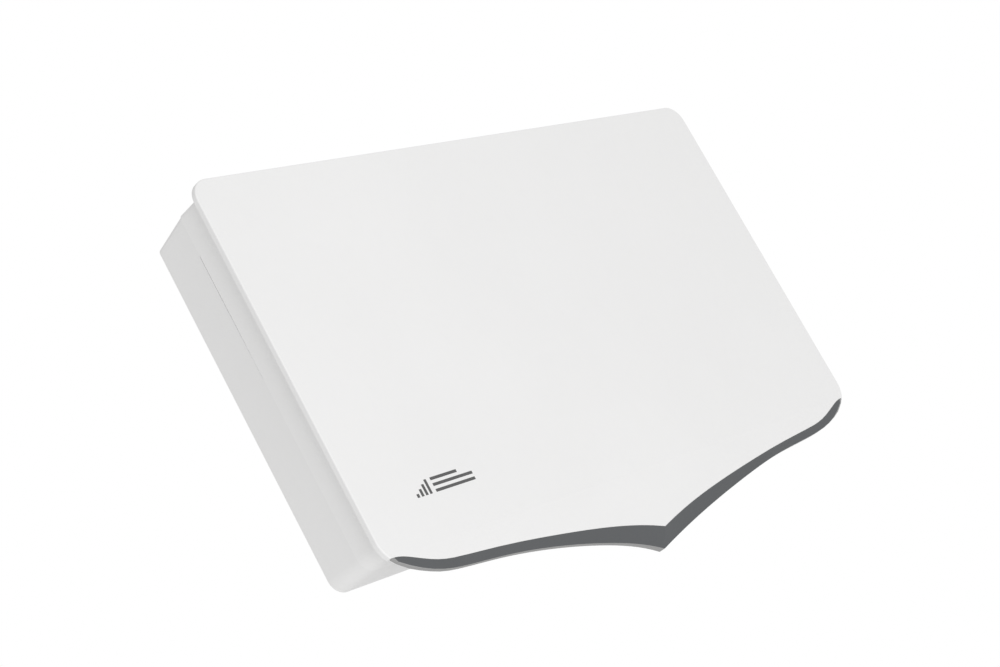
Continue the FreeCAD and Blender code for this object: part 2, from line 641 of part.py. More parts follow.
def mount_inserts():
    return [tube(x, 51.5, z, 3.95, 2.45, 8.5, Y_AXIS) for x, z in MOUNT_SCREWS]


def mount_screws():
    screws = []
    for x, z in MOUNT_SCREWS:
        y0 = BODY_DEPTH + PLATE_T
        head = cyl(x, y0, z, 5.0, 3.0, Y_AXIS)
        shank = cyl(x, y0 - 17.0, z, 2.4, 17.0, Y_AXIS)
        socket = hexagon(x, y0 + 1.2, z, 3.0, 2.5, Y_AXIS)
        screws.append(head.fuse(shank).cut(socket).removeSplitter())
    return screws


DISC_Y = BODY_DEPTH + PLATE_T + BODY_GAP
YOKE_BACK = DISC_Y + 2 * PLATE_T


def skew_pivot_bolt():
    head = hexagon(0.0, BODY_DEPTH - 5.6, 0.0, 17.0, 5.6, Y_AXIS)
    shank = cyl(0.0, BODY_DEPTH - 2.0, 0.0, 5.0, 24.5, Y_AXIS)
    return head.fuse(shank).removeSplitter()


def skew_pivot_washer():
    return tube(0.0, YOKE_BACK + BODY_GAP, 0.0, 10.5, 5.2, 2.0, Y_AXIS)


def skew_pivot_nut():
    nut = hexagon(0.0, YOKE_BACK + BODY_GAP + 2.0, 0.0, 17.0, 8.0, Y_AXIS)
    return nut.cut(cyl(0.0, YOKE_BACK, 0.0, 5.0, 20.0, Y_AXIS))


def skew_bolts():
    bolts = []
    for sx in (-1, 1):
        x = sx * SKEW_BOLT_R
        head = cyl(x, BODY_DEPTH - 3.2, 0.0, 7.6, 3.2, Y_AXIS)
        shank = cyl(x, BODY_DEPTH - 1.0, 0.0, 3.0, 19.0, Y_AXIS)
        bolts.append(head.fuse(shank).removeSplitter())
    return bolts


def skew_washers():
    y0 = DISC_Y + PLATE_T + BODY_GAP
    return [tube(sx * SKEW_BOLT_R, y0, 0.0, 7.0, 3.2, 1.6, Y_AXIS) for sx in (-1, 1)]


def skew_nuts():
    y0 = DISC_Y + PLATE_T + BODY_GAP + 1.6
    nuts = []
    for sx in (-1, 1):
        nut = hexagon(sx * SKEW_BOLT_R, y0, 0.0, 10.0, 6.0, Y_AXIS)
        nuts.append(nut.cut(cyl(sx * SKEW_BOLT_R, y0, 0.0, 3.0, 8.0, Y_AXIS)))
    return nuts


# ---------------------------------------------------------------- yoke (tilting bracket)
def arc_slot_y(radius, mid_deg, half_deg, half_w, y0, y1):
    # curved slot about the Y axis through the origin, angle measured from +X towards +Z
    ring = tube(0.0, y0, 0.0, radius + half_w, radius - half_w, y1 - y0, Y_AXIS)
    reach = radius * 3
    points = [(0.0, 0.0)]
    for k in range(5):
        a = math.radians(mid_deg - half_deg + half_deg * k / 2.0)
        points.append((reach * math.cos(a), reach * math.sin(a)))
    slot = ring.common(extrude_xz(points, y0, y1))
    for end in (mid_deg - half_deg, mid_deg + half_deg):
        a = math.radians(end)
        slot = slot.fuse(cyl(radius * math.cos(a), y0, radius * math.sin(a), half_w, y1 - y0, Y_AXIS))
    return slot


YOKE_RIVETS = [(sx * 32.0, sz * 30.0) for sx in (-1, 1) for sz in (-1, 1)]


def skew_plate():
    disc = cyl(0.0, DISC_Y, 0.0, DISC_R, PLATE_T, Y_AXIS)
    cuts = [cyl(0.0, DISC_Y, 0.0, 5.06, PLATE_T, Y_AXIS)]
    for mid in (0.0, 180.0):
        cuts.append(arc_slot_y(SKEW_BOLT_R, mid, SKEW_LIMIT + 1.0, 3.3, DISC_Y, DISC_Y + PLATE_T))
    cuts += [cyl(x, DISC_Y, z, 3.0, PLATE_T, Y_AXIS) for x, z in YOKE_RIVETS]
    for mid in (90.0, 270.0):
        cuts.append(arc_slot_y(62.0, mid, 24.0, 6.0, DISC_Y, DISC_Y + PLATE_T))
    return disc.cut(Part.makeCompound(cuts)).removeSplitter()


def arc_slot_x(radius, deg0, deg1, half_w, x0, x1):
    # curved slot about the X axis through the elevation pivot, angle measured from +Y towards +Z
    ring = tube(x0, PIVOT_Y, 0.0, radius + half_w, radius - half_w, x1 - x0, X_AXIS)
    reach = radius * 3
    points = [(PIVOT_Y, 0.0)]
    for k in range(7):
        a = math.radians(deg0 + (deg1 - deg0) * k / 6.0)
        points.append((PIVOT_Y + reach * math.cos(a), reach * math.sin(a)))
    slot = ring.common(extrude_yz(points, x0, x1))
    for end in (deg0, deg1):
        a = math.radians(end)
        slot = slot.fuse(cyl(x0, PIVOT_Y + radius * math.cos(a), radius * math.sin(a), half_w, x1 - x0, X_AXIS))
    return slot


YOKE_IN = ROOT_OUT + BODY_GAP
YOKE_OUT = YOKE_IN + PLATE_T
YOKE_BASE = FACE_Y + DISC_Y + PLATE_T


def yoke_bracket():
    # U-shaped pressing: base against the disc, one cheek on each side
    cheek_x = math.sqrt(YOKE_R ** 2 - YOKE_HALF_H ** 2)
    h = YOKE_HALF_H
    a = vec(YOKE_IN, YOKE_BASE, -h)
    b = vec(YOKE_IN, PIVOT_Y + cheek_x, -h)
    c = vec(YOKE_IN, PIVOT_Y + YOKE_R, 0)
    d = vec(YOKE_IN, PIVOT_Y + cheek_x, h)
    e = vec(YOKE_IN, YOKE_BASE, h)
    outline = Part.Wire([Part.makeLine(a, b), Part.Arc(b, c, d).toShape(), Part.makeLine(d, e),
                         Part.makeLine(e, a)])
    cheek = Part.Face(outline).extrude(vec(PLATE_T, 0, 0))
    cheek = cheek.cut(cyl(YOKE_IN, PIVOT_Y, 0.0, 4.06, PLATE_T, X_AXIS))
    slot = arc_slot_x(LOCK_R, LOCK_DEG - 1.0, LOCK_DEG + TILT_LIMIT + 1.0, 3.3, YOKE_IN, YOKE_OUT)
    cheek = cheek.cut(slot)
    base = box(-YOKE_IN, YOKE_IN, YOKE_BASE, YOKE_BASE + PLATE_T, -h, h)
    bracket = base.multiFuse([cheek, both_sides(cheek)]).removeSplitter()
    bends = []
    for edge in bracket.Edges:
        b_ = edge.BoundBox
        if b_.ZLength > 2 * h - 0.1 and b_.YMax < YOKE_BASE + 0.1 and abs(b_.Center.x) > YOKE_OUT - 0.1:
            bends.append(edge)
    bracket = bracket.makeFillet(4.0, bends)
    cuts = [cyl(0.0, YOKE_BASE, 0.0, 5.06, PLATE_T, Y_AXIS)]
    cuts += [cyl(x, YOKE_BASE, z, 3.0, PLATE_T, Y_AXIS) for x, z in YOKE_RIVETS]
    return bracket.cut(Part.makeCompound(cuts))


def yoke_rivets():
    rivets = []
    for x, z in YOKE_RIVETS:
        shank = cyl(x, DISC_Y + FACE_Y, z, 3.0, 2 * PLATE_T, Y_AXIS)
        ball = Part.makeSphere(5.6, vec(x, YOKE_BASE + PLATE_T - 2.6, z))
        cap = ball.common(box(x - 9, x + 9, YOKE_BASE + PLATE_T, YOKE_BASE + PLATE_T + 9, z - 9, z + 9))
        rivets.append(shank.fuse(cap).removeSplitter())
    return rivets


# ---------------------------------------------------------------- mast side
def lock_place():
    a = math.radians(LOCK_DEG)
    return PIVOT_Y + LOCK_R * math.cos(a), LOCK_R * math.sin(a)


CLAMP_BOLTS = [(sx * CLAMP_BOLT_X, sz * CLAMP_BOLT_Z) for sx in (-1, 1) for sz in (-1, 1)]


def mast_bracket():
    x0 = ROOT_OUT - PLATE_T
    back = WEB_Y + PLATE_T
    r = PIVOT_END_R
    h = WEB_HALF_H
    points = [vec(x0, back, -h), vec(x0, WEB_Y - 8.0, -h), vec(x0, PIVOT_Y + 4.0, -r), vec(x0, PIVOT_Y, -r)]
    upper = [vec(x0, PIVOT_Y, r), vec(x0, PIVOT_Y + 4.0, r), vec(x0, WEB_Y - 8.0, h), vec(x0, back, h)]
    edges = [Part.makeLine(points[i], points[i + 1]) for i in range(3)]
    edges.append(Part.Arc(points[-1], vec(x0, PIVOT_Y - r, 0), upper[0]).toShape())
    edges += [Part.makeLine(upper[i], upper[i + 1]) for i in range(3)]
    edges.append(Part.makeLine(upper[-1], points[0]))
    cheek = Part.Face(Part.Wire(edges)).extrude(vec(PLATE_T, 0, 0))
    lock_y, lock_z = lock_place()
    cheek = cheek.cut(cyl(x0, PIVOT_Y, 0.0, 4.1, PLATE_T, X_AXIS))
    cheek = cheek.cut(cyl(x0, lock_y, lock_z, 3.1, PLATE_T, X_AXIS))
    web = box(-x0, x0, WEB_Y, back, -h, h)
    bracket = web.multiFuse([cheek, both_sides(cheek)]).removeSplitter()
    bends = []
    for edge in bracket.Edges:
        b_ = edge.BoundBox
        if b_.ZLength > 2 * h - 0.1 and b_.YMin > back - 0.1 and abs(b_.Center.x) > ROOT_OUT - 0.1:
            bends.append(edge)
    bracket = bracket.makeFillet(4.0, bends)
    holes = [cyl(x, WEB_Y, z, 4.2, PLATE_T, Y_AXIS) for x, z in CLAMP_BOLTS]
    slot = round_block(-14.0, 14.0, WEB_Y, back, -5.0, 5.0, 4.9)
    return bracket.cut(Part.makeCompound(holes + [slot]))


def clamp_half():
    # block with a round seat for the mast, drawn on the +Y side
    block = box(-CLAMP_HALF_W, CLAMP_HALF_W, CLAMP_GAP, CLAMP_DEPTH, -CLAMP_HALF_H, CLAMP_HALF_H)
    sharp = [e for e in block.Edges if e.BoundBox.ZLength > 1.9 * CLAMP_HALF_H and e.BoundBox.YMin > CLAMP_GAP]
    block = block.makeFillet(5.0, sharp)
    rims = [e for e in block.Edges if e.BoundBox.ZLength < 0.01 and e.BoundBox.YMax > CLAMP_GAP + 0.01]
    block = block.makeFillet(1.5, rims)
    block = block.cut(cyl(0.0, 0.0, -CLAMP_HALF_H, MAST_R, 2 * CLAMP_HALF_H, Z_AXIS))
    pockets = []
    for sx in (-1, 1):
        pockets.append(box(sx * 33.0 - 5.0, sx * 33.0 + 5.0, CLAMP_GAP, CLAMP_GAP + 12.0, -4.5, 4.5))
    holes = [cyl(x, 0.0, z, 4.2, 40.0, Y_AXIS) for x, z in CLAMP_BOLTS]
    return block.cut(Part.makeCompound(pockets)).cut(Part.makeCompound(holes))


def clamp_jaw():
    return clamp_half()


def mast_saddle():
    return clamp_half().mirror(vec(0, 0, 0), Y_AXIS)


def clamp_bolts():
    bolts = []
    for x, z in CLAMP_BOLTS:
        head = hexagon(x, WEB_Y, z, 13.0, 5.3, vec(0, -1, 0))
        shank = cyl(x, WEB_Y - 1.0, z, 4.0, CLAMP_BOLT_END - WEB_Y + 1.0, Y_AXIS)
        bolts.append(head.fuse(shank).removeSplitter())
    return bolts


def clamp_washers():
    return [tube(x, CLAMP_DEPTH, z, 8.0, 4.1, 1.6, Y_AXIS) for x, z in CLAMP_BOLTS]


def clamp_nuts():
    nuts = []
    for x, z in CLAMP_BOLTS:
        nut = hexagon(x, CLAMP_DEPTH + 1.6, z, 13.0, 6.8, Y_AXIS)
        nuts.append(nut.cut(cyl(x, CLAMP_DEPTH, z, 4.04, 20.0, Y_AXIS)))
    return nuts


def side_fasteners(y, z, r, head_r, across_flats, nut_h):
    # a round-headed bolt through both cheeks on each side, with washer and nut outside
    x0 = ROOT_OUT - PLATE_T
    x1 = YOKE_OUT + BODY_GAP
    bolts = []
    washers = []
    nuts = []
    head = cyl(x0 - 3.4, y, z, head_r, 3.4, X_AXIS)
    shank = cyl(x0 - 1.0, y, z, r, x1 + 1.6 + nut_h + 2.5 - x0 + 1.0, X_AXIS)
    bolt = head.fuse(shank).removeSplitter()
    washer = tube(x1, y, z, head_r, r + 0.2, 1.6, X_AXIS)
    nut = hexagon(x1 + 1.6, y, z, across_flats, nut_h, X_AXIS).cut(cyl(x1, y, z, r, 20.0, X_AXIS))
    for shape, group in ((bolt, bolts), (washer, washers), (nut, nuts)):
        group.append(shape)
        group.append(both_sides(shape))
    return bolts, washers, nuts


# ---------------------------------------------------------------- write every node
def write_panel():
    save("front_cover", [front_cover()], FACE_Y)
    save("chin_trim", [chin_trim()], FACE_Y)
    save("chin_back", [chin_back()], FACE_Y)
    save("front_seal", [seal_ring(LIP, LIP + 1.6, 0.05)], FACE_Y)
    save("housing_frame", [housing_frame()], FACE_Y)
    save("rear_seal", [rear_seal()], FACE_Y)
    save("rear_shell", [rear_shell()], FACE_Y)
    save("case_screws", case_screws(), FACE_Y)
    save("horn_plate", [horn_plate()], FACE_Y)
    save("feed_plate_front", [feed_plate_front()], FACE_Y)
    save("feed_plate_rear", [feed_plate_rear()], FACE_Y)
    save("array_back_plate", [array_back_plate()], FACE_Y)
    save("array_screws", array_screws(), FACE_Y)
    save("lnb_housing", [lnb_housing()], FACE_Y)
    save("lnb_board", [lnb_board()], FACE_Y)
    save("lnb_probes", lnb_probes(), FACE_Y)
    save("lnb_lid", [lnb_lid()], FACE_Y)
    save("lnb_screws", lnb_screws(), FACE_Y)
    save("f_sockets", f_sockets(), FACE_Y)
    save("f_insulators", f_insulators(), FACE_Y)
    save("f_contacts", f_contacts(), FACE_Y)
    save("f_washers", f_washers(), FACE_Y)
    save("f_nuts", f_nuts(), FACE_Y)
    save("vent_plug", [vent_plug()], FACE_Y)
    save("mount_plate", [mount_plate()], FACE_Y)
    save("mount_inserts", mount_inserts(), FACE_Y)
    save("mount_screws", mount_screws(), FACE_Y)
    save("skew_pivot_bolt", [skew_pivot_bolt()], FACE_Y)
    save("skew_pivot_washer", [skew_pivot_washer()], FACE_Y)
    save("skew_pivot_nut", [skew_pivot_nut()], FACE_Y)
    save("skew_bolts", skew_bolts(), FACE_Y)
    save("skew_washers", skew_washers(), FACE_Y)
    save("skew_nuts", skew_nuts(), FACE_Y)


def write_bracket():
    save("skew_plate", [skew_plate()], FACE_Y)
    save("yoke_bracket", [yoke_bracket()])
    save("yoke_rivets", yoke_rivets())
    save("mast_bracket", [mast_bracket()])
    save("mast_saddle", [mast_saddle()])
    save("clamp_jaw", [clamp_jaw()])
    save("clamp_bolts", clamp_bolts())
    save("clamp_washers", clamp_washers())
    save("clamp_nuts", clamp_nuts())
    lock_y, lock_z = lock_place()
    pivot_bolts, pivot_washers, pivot_nuts = side_fasteners(PIVOT_Y, 0.0, 4.0, 8.0, 13.0, 6.8)
    lock_bolts, lock_washers, lock_nuts = side_fasteners(lock_y, lock_z, 3.0, 6.5, 10.0, 5.2)
    save("pivot_bolts", pivot_bolts)
    save("pivot_washers", pivot_washers)
    save("pivot_nuts", pivot_nuts)
    save("lock_bolts", lock_bolts)
    save("lock_washers", lock_washers)
    save("lock_nuts", lock_nuts)


write_panel()
write_bracket()
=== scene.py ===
import json
import math

import bmesh
import bpy
from mathutils import Euler, Matrix, Vector


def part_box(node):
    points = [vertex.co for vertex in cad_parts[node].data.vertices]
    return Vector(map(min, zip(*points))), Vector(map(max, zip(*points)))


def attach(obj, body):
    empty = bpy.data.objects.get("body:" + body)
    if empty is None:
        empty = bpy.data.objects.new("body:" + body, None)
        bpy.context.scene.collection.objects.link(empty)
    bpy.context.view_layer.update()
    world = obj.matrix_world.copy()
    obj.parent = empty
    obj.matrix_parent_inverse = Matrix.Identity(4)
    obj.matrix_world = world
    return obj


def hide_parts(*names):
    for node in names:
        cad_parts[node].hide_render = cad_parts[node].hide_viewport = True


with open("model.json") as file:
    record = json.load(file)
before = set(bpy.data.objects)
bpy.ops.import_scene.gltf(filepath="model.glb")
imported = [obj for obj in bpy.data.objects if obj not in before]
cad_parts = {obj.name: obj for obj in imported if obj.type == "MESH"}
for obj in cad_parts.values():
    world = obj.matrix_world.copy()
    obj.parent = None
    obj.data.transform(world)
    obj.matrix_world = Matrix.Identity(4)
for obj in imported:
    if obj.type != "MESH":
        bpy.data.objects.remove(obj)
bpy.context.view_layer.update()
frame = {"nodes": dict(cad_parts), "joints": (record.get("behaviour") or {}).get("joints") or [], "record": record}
NODES = frame["nodes"]
FACE_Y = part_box("front_cover")[0].y     # the plane of the white face


# ---------------------------------------------------------------- node helpers
class Mat:
    """A small builder for one node material."""

    def __init__(self, name):
        self.m = bpy.data.materials.new(name)
        self.m.use_nodes = True
        self.t = self.m.node_tree
        self.b = self.t.nodes["Principled BSDF"]
        self.coord = self.t.nodes.new("ShaderNodeTexCoord").outputs["Object"]

    def node(self, kind, **values):
        n = self.t.nodes.new(kind)
        for key, value in values.items():
            setattr(n, key, value)
        return n

    def link(self, a, b):
        self.t.links.new(a, b)

    def set(self, **values):
        for key, value in values.items():
            self.b.inputs[key.replace("_", " ")].default_value = value

    def noise(self, scale, detail=3.0, rough=0.5, vector=None):
        n = self.node("ShaderNodeTexNoise")
        n.inputs["Scale"].default_value = scale
        n.inputs["Detail"].default_value = detail
        n.inputs["Roughness"].default_value = rough
        self.link(vector or self.coord, n.inputs["Vector"])
        return n.outputs["Fac"]

    def voronoi(self, scale, output="Color", feature="F1"):
        n = self.node("ShaderNodeTexVoronoi", feature=feature)
        n.inputs["Scale"].default_value = scale
        self.link(self.coord, n.inputs["Vector"])
        return n.outputs[output]

    def stretch(self, sx, sy, sz):
        n = self.node("ShaderNodeMapping")
        n.inputs["Scale"].default_value = (sx, sy, sz)
        self.link(self.coord, n.inputs["Vector"])
        return n.outputs["Vector"]

    def ramp(self, source, stops):
        n = self.node("ShaderNodeValToRGB")
        n.color_ramp.elements[0].position, n.color_ramp.elements[0].color = stops[0]
        n.color_ramp.elements[1].position, n.color_ramp.elements[1].color = stops[-1]
        for position, colour in stops[1:-1]:
            n.color_ramp.elements.new(position).color = colour
        self.link(source, n.inputs["Fac"])
        return n.outputs["Color"]

    def remap(self, source, low, high, from_low=0.0, from_high=1.0):
        n = self.node("ShaderNodeMapRange")
        n.inputs["From Min"].default_value = from_low
        n.inputs["From Max"].default_value = from_high
        n.inputs["To Min"].default_value = low
        n.inputs["To Max"].default_value = high
        self.link(source, n.inputs["Value"])
        return n.outputs["Result"]

    def math(self, op, a, b=None):
        n = self.node("ShaderNodeMath", operation=op)
        for i, v in enumerate((a, b)):
            if v is None:
                continue
            if isinstance(v, (int, float)):
                n.inputs[i].default_value = v
            else:
                self.link(v, n.inputs[i])
        return n.outputs["Value"]

    def mix(self, fac, a, b):
        n = self.node("ShaderNodeMix", data_type="RGBA")
        for socket, v in ((n.inputs[0], fac), (n.inputs[6], a), (n.inputs[7], b)):
            if isinstance(v, (int, float, tuple)):
                socket.default_value = v
            else:
                self.link(v, socket)
        return n.outputs[2]

    def xyz(self):
        n = self.node("ShaderNodeSeparateXYZ")
        self.link(self.coord, n.inputs[0])
        return n.outputs

    def bump(self, height, strength, distance, under=None):
        n = self.node("ShaderNodeBump")
        n.inputs["Strength"].default_value = strength
        n.inputs["Distance"].default_value = distance
        self.link(height, n.inputs["Height"])
        if under is not None:
            self.link(under, n.inputs["Normal"])
        return n.outputs["Normal"]

    def done(self, colour, rough, normal=None):
        self.link(colour, self.b.inputs["Base Color"])
        self.link(rough, self.b.inputs["Roughness"])
        if normal is not None:
            self.link(normal, self.b.inputs["Normal"])
        return self.m


def grey(v, warm=0.0):
    return (v * (1 + warm), v, v * (1 - warm), 1.0)


# ---------------------------------------------------------------- materials
# Noise scales of moulded plastic, from coarse to fine.
FLOW = 9.0
DUST = 140.0
PITS = 900.0
GRAIN = 2600.0

# The generic print on the cover, in metres.
MARK_LEFT = -0.2205
MARK_LOW = -0.1115
BAR_HALF_W = 0.0012
BAR_PITCH = 0.0040
BAR_RISE = 0.00135                      # half of what each bar stands above the one before
RULES_LEFT = MARK_LEFT + 0.0181
RULE_HALF_W = (0.0195, 0.0195, 0.0130)
RULE_HALF_H = 0.0011
RULE_PITCH = 0.0044
PRINT_DEPTH = 0.0006                    # the print ends this far behind the face


def moulded_plastic(name, tone, grain=1.0, rough=0.46, warm=0.004, spread=0.02):
    """Satin moulded plastic: spark-eroded grain, faint flow mottling and a little dust."""
    m = Mat(name)
    flow = m.noise(FLOW, 4.0, 0.55)
    dust = m.noise(DUST, 5.0, 0.65)
    dark = tone * (1.0 - spread)
    base = m.ramp(flow, [(0.30, grey(dark, warm)), (0.70, grey(tone, warm))])
    colour = m.mix(m.remap(dust, 0.0, 0.10, 0.52, 0.80), base, grey(tone * 0.86, warm * 4))
    fine = m.noise(GRAIN, 2.0, 0.6)
    pits = m.noise(PITS, 3.0, 0.6)
    normal = m.bump(pits, 0.10 * grain, 0.00012, m.bump(fine, 0.16 * grain, 0.00006))
    roughness = m.remap(pits, rough - 0.05, rough + 0.08, 0.3, 0.7)
    m.set(Specular_IOR_Level=0.42)
    return m.done(colour, roughness, normal)


def printed_face(name, tone):
    """The cover's plastic with a generic dark print, four rising bars beside three rules."""
    m = Mat(name)
    flow = m.noise(FLOW, 4.0, 0.55)
    dust = m.noise(DUST, 5.0, 0.65)
    base = m.ramp(flow, [(0.30, grey(tone * 0.985, 0.003)), (0.70, grey(tone, 0.003))])
    plain = m.mix(m.remap(dust, 0.0, 0.08, 0.52, 0.80), base, grey(tone * 0.88, 0.012))
    x, y, z = m.xyz()
    marks = []
    for i in range(4):
        half_h = BAR_RISE * (i + 1)
        marks.append((MARK_LEFT + BAR_HALF_W + BAR_PITCH * i, BAR_HALF_W, MARK_LOW + half_h, half_h))
    for i, half_w in enumerate(RULE_HALF_W):
        marks.append((RULES_LEFT + half_w, half_w, MARK_LOW + RULE_HALF_H + RULE_PITCH * i, RULE_HALF_H))
    total = None
    for cx, half_w, cz, half_h in marks:
        inside_x = m.math("LESS_THAN", m.math("ABSOLUTE", m.math("SUBTRACT", x, cx)), half_w)
        inside_z = m.math("LESS_THAN", m.math("ABSOLUTE", m.math("SUBTRACT", z, cz)), half_h)
        one = m.math("MULTIPLY", inside_x, inside_z)
        total = one if total is None else m.math("MAXIMUM", total, one)
    on_front = m.math("LESS_THAN", y, FACE_Y + PRINT_DEPTH)
    mask = m.math("MULTIPLY", total, on_front)
    ink = m.ramp(m.noise(700.0, 2.0, 0.5), [(0.35, grey(0.085)), (0.65, grey(0.105))])
    colour = m.mix(mask, plain, ink)
    fine = m.noise(GRAIN, 2.0, 0.6)
    pits = m.noise(PITS, 3.0, 0.6)
    normal = m.bump(pits, 0.08, 0.00012, m.bump(fine, 0.14, 0.00006))
    m.set(Specular_IOR_Level=0.40)
    return m.done(colour, m.remap(pits, 0.42, 0.54, 0.3, 0.7), normal)


def galvanised(name):
    """Hot-dip zinc: crystal spangle in two sizes, soft streaks and white bloom."""
    m = Mat(name)
    big = m.voronoi(150.0)
    small = m.voronoi(420.0)
    big_v = m.node("ShaderNodeSeparateColor")
    m.link(big, big_v.inputs[0])
    small_v = m.node("ShaderNodeSeparateColor")
    m.link(small, small_v.inputs[0])
    spangle = m.math("ADD", m.math("MULTIPLY", big_v.outputs[0], 0.65),
                     m.math("MULTIPLY", small_v.outputs[1], 0.35))
    base = m.ramp(spangle, [
        (0.10, (0.36, 0.37, 0.385, 1)),
        (0.55, (0.50, 0.51, 0.525, 1)),
        (0.95, (0.66, 0.67, 0.68, 1)),
    ])
    bloom = m.noise(26.0, 6.0, 0.62)
    colour = m.mix(m.remap(bloom, 0.0, 0.45, 0.50, 0.75), base, (0.70, 0.71, 0.71, 1))
    rough = m.math("ADD", m.remap(spangle, 0.30, 0.46), m.remap(bloom, 0.0, 0.16, 0.4, 0.7))
    normal = m.bump(spangle, 0.12, 0.0002, m.bump(m.noise(1300.0, 3.0, 0.6), 0.08, 0.0001))
    m.set(Metallic=0.85)
    return m.done(colour, rough, normal)


def zinc_plate(name):
    """Bright zinc on fasteners: a bluish cast with fine turning lines and handling marks."""
    m = Mat(name)
    lines = m.noise(1.0, 3.0, 0.5, m.stretch(2600.0, 260.0, 2600.0))
    blot = m.noise(210.0, 4.0, 0.6)
    colour = m.ramp(blot, [
        (0.32, (0.50, 0.51, 0.55, 1)),
        (0.55, (0.62, 0.62, 0.62, 1)),
        (0.75, (0.70, 0.67, 0.58, 1)),
    ])
    rough = m.math("ADD", m.remap(lines, 0.20, 0.32), m.remap(blot, 0.0, 0.12, 0.4, 0.7))
    m.set(Metallic=1.0)
    return m.done(colour, rough, m.bump(lines, 0.10, 0.00006))


def stainless(name):
    m = Mat(name)
    lines = m.noise(1.0, 3.0, 0.5, m.stretch(1500.0, 1500.0, 300.0))
    blot = m.noise(300.0, 3.0, 0.6)
    colour = m.ramp(blot, [(0.35, (0.55, 0.55, 0.54, 1)), (0.70, (0.68, 0.67, 0.65, 1))])
    m.set(Metallic=1.0)
    return m.done(colour, m.remap(lines, 0.22, 0.38, 0.3, 0.7), m.bump(lines, 0.08, 0.00005))


def nickel(name):
    m = Mat(name)
    blot = m.noise(320.0, 4.0, 0.6)
    lines = m.noise(1.0, 2.0, 0.5, m.stretch(300.0, 300.0, 4000.0))
    colour = m.ramp(blot, [(0.30, (0.60, 0.57, 0.51, 1)), (0.70, (0.74, 0.71, 0.66, 1))])
    m.set(Metallic=1.0)
    return m.done(colour, m.remap(lines, 0.16, 0.28, 0.3, 0.7), m.bump(lines, 0.06, 0.00005))


def brass(name, tone=(0.72, 0.55, 0.28, 1)):
    m = Mat(name)
    blot = m.noise(420.0, 4.0, 0.6)
    dark = tuple(c * 0.72 for c in tone[:3]) + (1.0,)
    colour = m.ramp(blot, [(0.30, dark), (0.65, tone)])
    m.set(Metallic=1.0)
    return m.done(colour, m.remap(blot, 0.24, 0.40, 0.3, 0.7), m.bump(m.noise(1800.0), 0.08, 0.00005))


def cast_metal(name, low, high, grain=900.0, rough=0.50):
    """Sand- or die-cast aluminium: rounded grain with small pores."""
    m = Mat(name)
    lumps = m.noise(grain, 5.0, 0.62)
    pores = m.voronoi(1500.0, "Distance")
    blot = m.noise(60.0, 4.0, 0.55)
    base = m.ramp(blot, [(0.30, grey(low)), (0.70, grey(high))])
    hole = m.remap(pores, 1.0, 0.0, 0.05, 0.16)
    colour = m.mix(m.math("MULTIPLY", hole, 0.45), base, grey(low * 0.45))
    normal = m.bump(lumps, 0.30, 0.00025, m.bump(pores, 0.10, 0.0001))
    m.set(Metallic=0.80)
    return m.done(colour, m.remap(lumps, rough - 0.08, rough + 0.12, 0.3, 0.7), normal)


def rolled_sheet(name):
    m = Mat(name)
    lines = m.noise(1.0, 4.0, 0.6, m.stretch(18.0, 1200.0, 1200.0))
    blot = m.noise(24.0, 4.0, 0.55)
    colour = m.ramp(blot, [(0.30, (0.60, 0.61, 0.62, 1)), (0.70, (0.72, 0.73, 0.74, 1))])
    m.set(Metallic=1.0)
    return m.done(colour, m.remap(lines, 0.24, 0.44, 0.3, 0.7), m.bump(lines, 0.12, 0.00005))


def plated_plastic(name):
    m = Mat(name)
    flow = m.noise(18.0, 4.0, 0.6)
    grain = m.noise(1600.0, 3.0, 0.6)
    colour = m.ramp(flow, [(0.30, (0.62, 0.63, 0.65, 1)), (0.70, (0.76, 0.77, 0.78, 1))])
    m.set(Metallic=0.95)
    return m.done(colour, m.remap(grain, 0.26, 0.40, 0.3, 0.7), m.bump(grain, 0.10, 0.00006))


def rubber(name, tone=0.030):
    m = Mat(name)
    dust = m.noise(260.0, 5.0, 0.65)
    grain = m.noise(1800.0, 3.0, 0.6)
    colour = m.ramp(dust, [(0.40, grey(tone)), (0.80, grey(tone * 2.1))])
    m.set(Specular_IOR_Level=0.30)
    return m.done(colour, m.remap(grain, 0.62, 0.82, 0.3, 0.7), m.bump(grain, 0.25, 0.0001))


def circuit_board(name):
    m = Mat(name)
    tracks = m.voronoi(260.0, "Distance", "DISTANCE_TO_EDGE")
    weave = m.noise(1.0, 2.0, 0.5, m.stretch(1500.0, 1500.0, 700.0))
    base = m.ramp(weave, [(0.35, (0.010, 0.085, 0.040, 1)), (0.65, (0.016, 0.125, 0.058, 1))])
    line = m.remap(tracks, 1.0, 0.0, 0.02, 0.05)
    colour = m.mix(line, base, (0.035, 0.20, 0.085, 1))
    return m.done(colour, m.remap(weave, 0.26, 0.42, 0.3, 0.7), m.bump(tracks, 0.15, 0.0001))


def print_ink(name, tone):
    m = Mat(name)
    worn = m.noise(420.0, 4.0, 0.6)
    colour = m.ramp(worn, [(0.36, grey(tone)), (0.74, grey(tone * 1.9))])
    return m.done(colour, m.remap(worn, 0.5, 0.7, 0.3, 0.7), m.bump(worn, 0.1, 0.00005))


